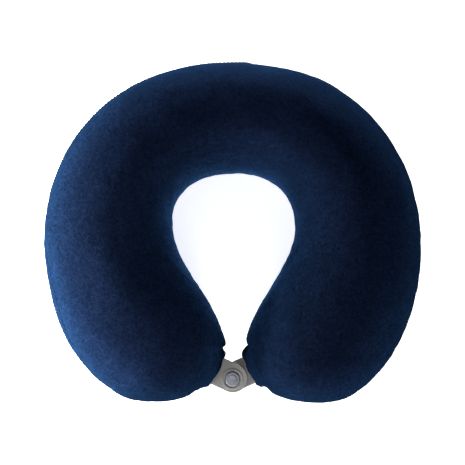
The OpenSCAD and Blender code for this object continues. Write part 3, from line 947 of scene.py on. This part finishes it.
def strap_faces(count):
    index = np.arange((EDGE_RINGS + 2 * FILL_RINGS) * count).reshape(-1, count)
    edge, upper, lower = np.split(index, [EDGE_RINGS, EDGE_RINGS + FILL_RINGS])
    chain = np.concatenate([lower[::-1], edge, upper])
    pairs = list(zip(chain[:-1], chain[1:]))
    faces = [(a[i], a[i + 1], b[i + 1], b[i]) for a, b in pairs for i in range(count - 1)]
    # close the middle line of each face, then the cut base
    middle = count // 2
    for ring in (upper[-1], lower[-1]):
        for i in range(middle - 1):
            faces.append((ring[i], ring[i + 1], ring[-2 - i], ring[-1 - i]))
        faces.append((ring[middle - 1], ring[middle], ring[middle + 1]))
    return faces + [(a[0], b[0], b[-1], a[-1]) for a, b in pairs]


def strap(side, x_sign):
    """Moulded tab with a full-round end, softly rounded edges and a narrower base."""
    reach = np.array([x_sign * math.cos(math.radians(TAB_ANGLE)),
                      math.sin(math.radians(TAB_ANGLE)), 0.0])
    across_axis = np.array([-reach[1] * x_sign, reach[0] * x_sign, 0.0])
    origin = np.array([0.0, SNAP_Y, 0.0])
    low, high = sorted((SEAM - x_sign * TAB_GAP, SEAM - x_sign * TAB_FAR))
    verts = []
    for along, across, z in strap_rings(x_sign, low, high):
        across = across * (1 - 0.40 * ramp(along, TAB_HINGE + 2.9, 2.3))
        ring = (origin + reach * along[:, None] + across_axis * (across + TAB_OFFSET)[:, None])
        ring[:, 2] += z
        verts.append(ring)
    piece = make_mesh(f"tab_strap_{side}", np.concatenate(verts), strap_faces(len(verts[0])))
    mesh = bmesh.new()
    mesh.from_mesh(piece.data)
    bmesh.ops.remove_doubles(mesh, verts=mesh.verts, dist=0.00001)
    bmesh.ops.recalc_face_normals(mesh, faces=mesh.faces)
    mesh.to_mesh(piece.data)
    mesh.free()
    piece.data.polygons.foreach_set("use_smooth", [True] * len(piece.data.polygons))
    z = (low + high) / 2
    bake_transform(piece)
    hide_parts(f"tab_{side}", f"tab_root_{side}")
    return piece


# (radius, height over the cap's seat), from the hidden stem to the crown
CAP_PROFILE = [
    (0, -1.2), (1.3, -1.2), (1.3, 0.02), (5.4, 0.02), (5.95, 0.10), (6.2, 0.34),
    (6.2, 0.52), (6.02, 0.80), (5.6, 1.02), (5.15, 1.10), (4.85, 1.12), (4.6, 1.08),
    (4.35, 1.10), (3.9, 1.24), (3.2, 1.38), (2.2, 1.49), (1.1, 1.54), (0, 1.55),
]


def snap_cap(name, up, segments=72):
    """A turned cap on the snap's axis."""
    seat = SEAM + up * (TAB_FAR + 0.16)
    rim = CAP_PROFILE[1:-1]
    count = len(rim)
    verts, faces = [], []
    for k in range(segments):
        angle = 2 * np.pi * k / segments
        for radius, height in rim:
            verts.append((radius * math.cos(angle), SNAP_Y + radius * math.sin(angle),
                          seat + up * height))
    base = len(verts)
    verts += [(0, SNAP_Y, seat + up * CAP_PROFILE[end][1]) for end in (0, -1)]
    for k in range(segments):
        here, after = k * count, (k + 1) % segments * count
        for i in range(count - 1):
            faces.append((here + i, here + i + 1, after + i + 1, after + i))
        faces.append((base, here, after))
        faces.append((base + 1, after + count - 1, here + count - 1))
    return make_mesh(name, verts, face_out(verts, faces))


straps = [strap("left", -1), strap("right", 1)]
caps = [snap_cap("snap_cap_front", 1), snap_cap("snap_cap_back", -1)]
register(caps[0], "left_tab", "snap_plastic", "snap_cap_upper")
register(caps[1], "right_tab", "snap_plastic", "snap_cap_lower")


# -------------------------------------------------------------- materials
class Mat:
    """Small helper that builds a node material in object space."""

    def __init__(self, name):
        self.material = bpy.data.materials.new(name)
        self.material.use_nodes = True
        self.tree = self.material.node_tree
        self.tree.nodes.clear()
        output = self.node("ShaderNodeOutputMaterial")
        self.shader = self.node("ShaderNodeBsdfPrincipled")
        self.feed(output.inputs[0], self.shader.outputs[0])
        self.position = self.node("ShaderNodeTexCoord").outputs["Object"]

    def feed(self, socket, value):
        """Links a socket, or sets its value; a colour gets its alpha added."""
        if isinstance(value, bpy.types.NodeSocket):
            self.tree.links.new(value, socket)
        elif isinstance(value, tuple) and len(socket.default_value) == 4:
            socket.default_value = (*value, 1.0)
        else:
            socket.default_value = value

    def node(self, kind, inputs=None, **properties):
        node = self.tree.nodes.new(kind)
        for name, value in properties.items():
            setattr(node, name, value)
        for key, value in (inputs or {}).items():
            self.feed(node.inputs[key], value)
        return node

    def noise(self, scale, detail=2.0, roughness=0.5, distortion=0.0):
        inputs = {"Vector": self.position, "Scale": scale, "Detail": detail,
                  "Roughness": roughness, "Distortion": distortion}
        return self.node("ShaderNodeTexNoise", inputs).outputs["Fac"]

    def remap(self, value, to, over=(0.3, 0.7), kind="LINEAR"):
        """Maps the range over to the range to."""
        inputs = {"Value": value, "From Min": over[0], "From Max": over[1],
                  "To Min": to[0], "To Max": to[1]}
        return self.node("ShaderNodeMapRange", inputs, interpolation_type=kind).outputs[0]

    def ease(self, value, over, to):
        return self.remap(value, to, over, kind="SMOOTHSTEP")

    def math(self, operation, *values):
        inputs = dict(enumerate(values))
        return self.node("ShaderNodeMath", inputs, operation=operation).outputs[0]

    def mix(self, factor, first, second):
        inputs = {0: factor, 6: first, 7: second}
        return self.node("ShaderNodeMix", inputs, data_type="RGBA").outputs[2]

    def scale_color(self, color, factor):
        inputs = {0: color, "Scale": factor}
        return self.node("ShaderNodeVectorMath", inputs, operation="SCALE").outputs[0]

    def bump(self, height, strength, distance, normal=None):
        inputs = {"Height": height, "Strength": strength, "Distance": distance}
        if normal is not None:
            inputs["Normal"] = normal
        return self.node("ShaderNodeBump", inputs).outputs[0]

    def set(self, **inputs):
        for name, value in inputs.items():
            self.feed(self.shader.inputs[name.replace("_", " ")], value)


def painted_light_patches(mat, shade):
    """Multiplies the shade by painted light and shade: patches made brighter or darker where the
    lights fall more or less on the pillow.
    """
    split = mat.node("ShaderNodeSeparateXYZ", {0: mat.position})
    x, y = split.outputs[0], split.outputs[1]
    squares = mat.math("ADD", mat.math("MULTIPLY", x, x), mat.math("MULTIPLY", y, y))
    radius = mat.math("SQRT", squares)
    warp = mat.noise(scale=18, detail=2, roughness=0.5)
    warp = mat.math("MULTIPLY", mat.math("SUBTRACT", warp, 0.5), 0.016)
    warped_x = mat.math("ADD", x, warp)
    ring = mat.math("ADD", radius, warp)
    from_mouth = mat.math("ABSOLUTE", mat.math("ADD", x, 0.002))
    rise, fall = (0.0, 1.0), (1.0, 0.0)
    # (painted brightness, soft limits as (distance, metres over which it eases, values))
    light_and_shade_patches = [
        # painted shade on the right arm
        (0.82, [(warped_x, (0.034, 0.060), rise), (warped_x, (0.132, 0.152), fall),
                (y, (-0.122, -0.095), rise)]),
        # painted light on the left arm
        (1.30, [(warped_x, (-0.126, -0.106), rise), (warped_x, (-0.096, -0.076), fall),
                (y, (0.025, 0.085), fall), (y, (-0.10, -0.02), rise)]),
        # painted light on the rim of the hole
        (1.26, [(ring, (0.058, 0.074), fall), (y, (-0.12, -0.06), (0.4, 1.0)),
                (x, (0.025, 0.055), (1.0, 0.2))]),
        # painted shade on the crest of the back
        (0.80, [(ring, (0.082, 0.094), rise), (ring, (0.098, 0.112), fall),
                (y, (0.02, 0.06), rise)]),
        # painted light on both sides of the opening
        (1.32, [(from_mouth, (0.011, 0.028), fall), (y, (-0.045, -0.070), rise)]),
        # painted light on the outer edge at the front
        (1.20, [(ring, (0.132, 0.150), rise), (y, (-0.045, -0.080), rise)]),
        # painted light on the outer slope of the back
        (1.22, [(ring, (0.106, 0.118), rise), (ring, (0.128, 0.140), fall),
                (y, (0.08, 0.11), rise)]),
    ]
    for painted_brightness, limits in light_and_shade_patches:
        mask = mat.ease(*limits[0])
        for limit in limits[1:]:
            mask = mat.math("MULTIPLY", mask, mat.ease(*limit))
        shade = mat.math("MULTIPLY", shade, mat.ease(mask, over=rise, to=(1.0, painted_brightness)))
    return shade


def velour():
    mat = Mat("velour_navy")
    broad = mat.noise(scale=14, detail=3, roughness=0.55)
    patch = mat.noise(scale=120, detail=3, roughness=0.6, distortion=0.6)
    small = mat.noise(scale=420, detail=3, roughness=0.62)
    tuft = mat.noise(scale=1150, detail=2, roughness=0.6)
    normal = mat.bump(small, strength=0.30, distance=0.0010)
    normal = mat.bump(tuft, strength=0.45, distance=0.0004, normal=normal)
    normal = mat.bump(patch, strength=0.16, distance=0.003, normal=normal)
    weight = mat.node("ShaderNodeLayerWeight", {"Blend": 0.5, "Normal": normal})
    slant = weight.outputs["Facing"]
    # painted sheen: the pile colour turns brighter and bluer where it is seen at a slant,
    # standing in for the velour's sheen
    facing = mat.scale_color((0.00200, 0.00392, 0.01100), mat.math("SUBTRACT", 1.0, slant))
    painted_sheen_color = mat.scale_color((0.00208, 0.00735, 0.01990), mat.math("POWER", slant, 1.0))
    base = mat.node("ShaderNodeVectorMath", {0: facing, 1: painted_sheen_color}, operation="ADD").outputs[0]
    shade = mat.math("MULTIPLY", mat.remap(small, to=(0.62, 1.42)),
                     mat.remap(patch, to=(0.88, 1.13)))
    shade = mat.math("MULTIPLY", shade, mat.remap(broad, to=(0.95, 1.06)))
    shade = mat.math("MULTIPLY", shade, mat.remap(tuft, to=(0.60, 1.42), over=(0.25, 0.75)))
    # the base colour is multiplied by the patches of painted light and shade
    mat.set(
        Base_Color=mat.scale_color(base, painted_light_patches(mat, shade)),
        Roughness=mat.remap(small, to=(0.82, 0.97)),
        Normal=normal,
        Specular_IOR_Level=0.0,
        Sheen_Weight=0.0,
        Sheen_Roughness=0.38,
        Sheen_Tint=(0.18, 0.42, 1.0),
    )
    return mat.material


def foam_material():
    mat = Mat("foam_pale")
    cells = mat.node("ShaderNodeTexVoronoi", {"Scale": 900, "Vector": mat.position})
    cell = cells.outputs["Distance"]
    broad = mat.noise(scale=30, detail=3)
    color = mat.mix(mat.remap(broad, to=(0, 1)), (0.78, 0.74, 0.60), (0.86, 0.83, 0.72))
    # painted shade: spots round the Voronoi points are darkened to stand in for the shade inside
    # the foam's pores
    pore_shade = mat.remap(cell, to=(0.35, 0.0), over=(0.0, 0.6))
    mat.set(
        Base_Color=mat.mix(pore_shade, color, (0.52, 0.47, 0.34)),
        Roughness=mat.remap(broad, to=(0.8, 0.95)),
        Normal=mat.bump(cell, strength=0.6, distance=0.0006),
    )
    return mat.material


def weave(name, dark, light, scale, roughness, strength):
    """Plain weave from two crossed bands."""
    mat = Mat(name)
    split = mat.node("ShaderNodeSeparateXYZ", {0: mat.position})
    x, y, z = split.outputs
    wobble = mat.math("MULTIPLY", mat.noise(scale=120, detail=2), 0.8)
    across = mat.math("ADD", mat.math("MULTIPLY", mat.math("ADD", x, y), scale), wobble)
    upward = mat.math("MULTIPLY", z, scale)
    cross = mat.math("MULTIPLY", mat.math("SINE", across), mat.math("SINE", upward))
    cloud = mat.noise(scale=60, detail=3)
    color = mat.mix(mat.remap(cross, to=(0, 1), over=(-1, 1)), dark, light)
    mat.set(
        Base_Color=mat.scale_color(color, mat.remap(cloud, to=(0.85, 1.12))),
        Roughness=mat.remap(cloud, to=(roughness - 0.08, roughness + 0.08)),
        Normal=mat.bump(cross, strength=strength, distance=0.0002),
        Specular_IOR_Level=0.02,
    )
    return mat.material


def thread(name, color):
    mat = Mat(name)
    bands = mat.node("ShaderNodeTexWave",
                     {"Scale": 900, "Distortion": 2.0, "Vector": mat.position},
                     wave_type="BANDS", bands_direction="DIAGONAL")
    twist = bands.outputs["Fac"]
    cloud = mat.noise(scale=200, detail=2)
    twisted = mat.mix(twist, tuple(0.6 * part for part in color), color)
    mat.set(
        Base_Color=mat.scale_color(twisted, mat.remap(cloud, to=(0.8, 1.15))),
        Roughness=mat.remap(cloud, to=(0.62, 0.80)),
        Normal=mat.bump(twist, strength=0.5, distance=0.00015),
        Specular_IOR_Level=0.015,
    )
    return mat.material


def tab_material():
    mat = Mat("tab_soft_plastic")
    broad = mat.noise(scale=45, detail=3, roughness=0.6)
    grain = mat.noise(scale=900, detail=3, roughness=0.65)
    fine = mat.noise(scale=2600, detail=2, roughness=0.6)
    color = mat.mix(mat.remap(broad, to=(0, 1)), (0.163, 0.160, 0.154), (0.189, 0.185, 0.178))
    color = mat.scale_color(color, mat.remap(grain, to=(0.95, 1.05)))
    # painted highlight: the tab's rounded edges, found by pointiness, are mixed towards a
    # lighter grey
    pointed = mat.node("ShaderNodeNewGeometry").outputs["Pointiness"]
    edge = mat.remap(pointed, to=(0.0, 0.35), over=(0.50, 0.58))
    normal = mat.bump(grain, strength=0.18, distance=0.0003)
    mat.set(
        Base_Color=mat.mix(edge, color, (0.195, 0.191, 0.184)),
        Roughness=mat.remap(grain, to=(0.52, 0.68)),
        Normal=mat.bump(fine, strength=0.22, distance=0.00012, normal=normal),
        Specular_IOR_Level=0.30,
        Sheen_Weight=0.08,
    )
    return mat.material


def snap_material():
    mat = Mat("snap_satin_plastic")
    swirl = mat.noise(scale=160, detail=3, roughness=0.6)
    fine = mat.noise(scale=1800, detail=2)
    mat.set(
        Base_Color=mat.mix(mat.remap(swirl, to=(0, 1)),
                           (0.122, 0.128, 0.154), (0.150, 0.156, 0.184)),
        Roughness=mat.remap(swirl, to=(0.30, 0.44)),
        Normal=mat.bump(fine, strength=0.10, distance=0.0001),
        Specular_IOR_Level=0.5,
        Coat_Weight=0.12,
    )
    return mat.material


def enamel_material():
    """Navy enamel over die-cast metal, rubbed through to bare metal on the edges."""
    mat = Mat("zip_navy_enamel")
    swirl = mat.noise(scale=300, detail=3, roughness=0.6)
    speck = mat.noise(scale=2400, detail=2, roughness=0.7)
    scratch = mat.node("ShaderNodeTexWave",
                       {"Scale": 500, "Distortion": 12, "Vector": mat.position},
                       wave_type="BANDS").outputs["Fac"]
    flat = mat.node("ShaderNodeNewGeometry").outputs["Normal"]
    beveled = mat.node("ShaderNodeBevel", {"Radius": 0.00022}, samples=4).outputs[0]
    match = mat.node("ShaderNodeVectorMath", {0: beveled, 1: flat}, operation="DOT_PRODUCT")
    edge = mat.math(
        "MULTIPLY",
        mat.remap(match.outputs["Value"], to=(0, 1), over=(0.985, 0.90)),
        mat.remap(swirl, to=(0.0, 1.0), over=(0.40, 0.62)),
    )
    color = mat.mix(mat.remap(swirl, to=(0, 1)),
                    (0.0040, 0.0075, 0.0210), (0.0068, 0.0120, 0.0310))
    specks = mat.remap(speck, to=(0.0, 0.5), over=(0.62, 0.80))
    color = mat.mix(specks, color, (0.020, 0.030, 0.058))
    mat.set(
        Base_Color=mat.mix(edge, color, (0.045, 0.048, 0.055)),
        Metallic=mat.remap(edge, to=(0.0, 0.8), over=(0.3, 0.9)),
        Roughness=mat.remap(swirl, to=(0.42, 0.58)),
        Normal=mat.bump(scratch, strength=0.06, distance=0.0001),
        Specular_IOR_Level=0.04,
    )
    return mat.material


def coil_material():
    mat = Mat("zip_nylon_coil")
    cloud = mat.noise(scale=400, detail=2)
    mat.set(
        Base_Color=mat.mix(mat.remap(cloud, to=(0, 1)),
                           (0.0022, 0.0040, 0.0115), (0.0042, 0.0074, 0.0200)),
        Roughness=mat.remap(cloud, to=(0.36, 0.50)),
        Normal=mat.bump(cloud, strength=0.15, distance=0.0001),
        Specular_IOR_Level=0.05,
    )
    return mat.material


def floor_material():
    """Pale floor that the camera sees as nearly white."""
    mat = Mat("floor_pale")
    cloud = mat.noise(scale=3, detail=2)
    camera_ray = mat.node("ShaderNodeLightPath").outputs["Is Camera Ray"]
    mat.set(
        Base_Color=mat.mix(cloud, (0.80, 0.80, 0.80), (0.84, 0.84, 0.84)),
        Roughness=0.9,
        Emission_Color=(1, 1, 1),
        Emission_Strength=mat.remap(camera_ray, to=(0.0, 0.82), over=(0, 1)),
        Specular_IOR_Level=0.05,
    )
    return mat.material


def assign(material, *pieces):
    for piece in pieces:
        piece.data.materials.clear()
        piece.data.materials.append(material)


assign(velour(), cover_top, cover_bottom, guard_strip)
assign(thread("navy_sewing_thread", (0.0034, 0.0064, 0.0180)), seam_thread, zip_thread)
assign(foam_material(), foam)
assign(weave("liner_cotton", dark=(0.66, 0.68, 0.70), light=(0.80, 0.81, 0.82),
             scale=5200, roughness=0.88, strength=0.4), *liners)
assign(weave("zip_tape_weave", dark=(0.0018, 0.0034, 0.0096), light=(0.0042, 0.0076, 0.0205),
             scale=7000, roughness=0.85, strength=0.6), *tapes)
assign(coil_material(), *coils)
assign(tab_material(), *straps)
snap_plastic = snap_material()
assign(snap_plastic, *caps)
enamel = enamel_material()


def finish_cad_piece(name):
    """Gives a piece kept from the CAD its material and a soft edge."""
    # a node may be the object itself or a record about it
    piece = bpy.data.objects[name] if isinstance(nodes[name], dict) else nodes[name]
    material = snap_plastic if name.startswith("snap") else enamel
    if piece.material_slots:
        for slot in piece.material_slots:
            slot.material = material
    else:
        piece.data.materials.append(material)
    bevel = piece.modifiers.new("soft_edge", "BEVEL")
    bevel.width = 0.00012
    bevel.segments = 2
    bevel.limit_method = "ANGLE"
    bevel.angle_limit = math.radians(40)


for name in ("zip_slider", "zip_pull", "zip_stop_closed", "zip_stop_open",
             "snap_socket", "snap_stud"):
    finish_cad_piece(name)

# ------------------------------------------------------ stage, in metres
FLOOR_HALF, FLOOR_Z = 3.0, -0.0006
CAMERA_HEIGHT, VIEW_WIDTH = 2.0, 0.39525  # above the seam level, width seen there
SENSOR = 36
WORLD_STRENGTH = 0.96  # seen by the camera only

LIGHTS = [  # name, place, point it is aimed at, (width, height), power in watts
    ("key_left", (-0.60, -0.05, 0.16), (0, 0, 0.05), (0.30, 0.20), 29.7),
    ("key_front_left", (-0.42, -0.36, 0.32), (0, 0, 0.05), (0.25, 0.25), 3.2),
    ("key_upper_left", (-0.50, 0.0, 0.30), (0, 0, 0.05), (0.25, 0.25), 1.65),
    ("overhead", (-0.45, 0.10, 1.80), (0, 0, 0.05), (0.5, 0.5), 1.9),
    ("fill_right", (1.25, 0.10, 0.70), (0, 0, 0.05), (0.8, 0.6), 20.5),
    ("front_soft", (0.0, -1.35, 0.45), (0, 0, 0.05), (0.9, 0.5), 30.0),
    ("side_soft_right", (0.95, -0.45, 0.14), (0, 0, 0.05), (0.6, 0.25), 1.5),
    ("back_reflector", (0.0, 0.40, 0.003), (0, 0.1, 0.2), (0.5, 0.1), 13.1),
    ("mouth_soft", (-0.004, -0.112, 0.22), (0, -0.118, 0.05), (0.06, 0.06), 0.060),
    ("hole_reflector", (0.0, -0.005, 0.003), (0, -0.005, 0.5), (0.08, 0.09), 1.24),
]


def add_floor():
    mesh = bpy.data.meshes.new("studio_floor")
    corners = [(-1, -1), (1, -1), (1, 1), (-1, 1)]
    verts = [(x * FLOOR_HALF, y * FLOOR_HALF, FLOOR_Z) for x, y in corners]
    mesh.from_pydata(verts, [], [(0, 1, 2, 3)])
    floor = bpy.data.objects.new("studio_floor", mesh)
    scene.collection.objects.link(floor)
    assign(floor_material(), floor)


def add_world():
    """A world that the camera sees as white but that gives no light."""
    world = bpy.data.worlds.new("studio")
    scene.world = world
    world.use_nodes = True
    tree = world.node_tree
    background = tree.nodes["Background"]
    rays = tree.nodes.new("ShaderNodeLightPath")
    strength = tree.nodes.new("ShaderNodeMapRange")
    strength.inputs["To Min"].default_value = 0.0
    strength.inputs["To Max"].default_value = WORLD_STRENGTH
    tree.links.new(rays.outputs["Is Camera Ray"], strength.inputs["Value"])
    tree.links.new(strength.outputs[0], background.inputs[1])
    background.inputs[0].default_value = (1.0, 1.0, 1.0, 1)


def add_light(name, place, aim, size, power):
    light = bpy.data.lights.new(name, "AREA")
    light.shape = "RECTANGLE"
    light.size, light.size_y = size
    light.energy = power
    lamp = bpy.data.objects.new(name, light)
    lamp.location = place
    direction = Vector(aim) - Vector(place)
    lamp.rotation_euler = direction.to_track_quat("-Z", "Y").to_euler()
    scene.collection.objects.link(lamp)
    lamp.visible_camera = False


def add_camera():
    """A camera straight above the pillow, looking down."""
    data = bpy.data.cameras.new("camera")
    camera = bpy.data.objects.new("camera", data)
    scene.collection.objects.link(camera)
    camera.location = (0, 0, SEAM * MM + CAMERA_HEIGHT)
    data.sensor_width = SENSOR
    data.lens = SENSOR * CAMERA_HEIGHT / VIEW_WIDTH
    data.clip_end = 20
    scene.camera = camera


add_floor()
add_world()
for light in LIGHTS:
    add_light(*light)
add_camera()
scene.view_settings.view_transform = "Standard"
scene.view_settings.look = "None"

bpy.context.view_layer.update()
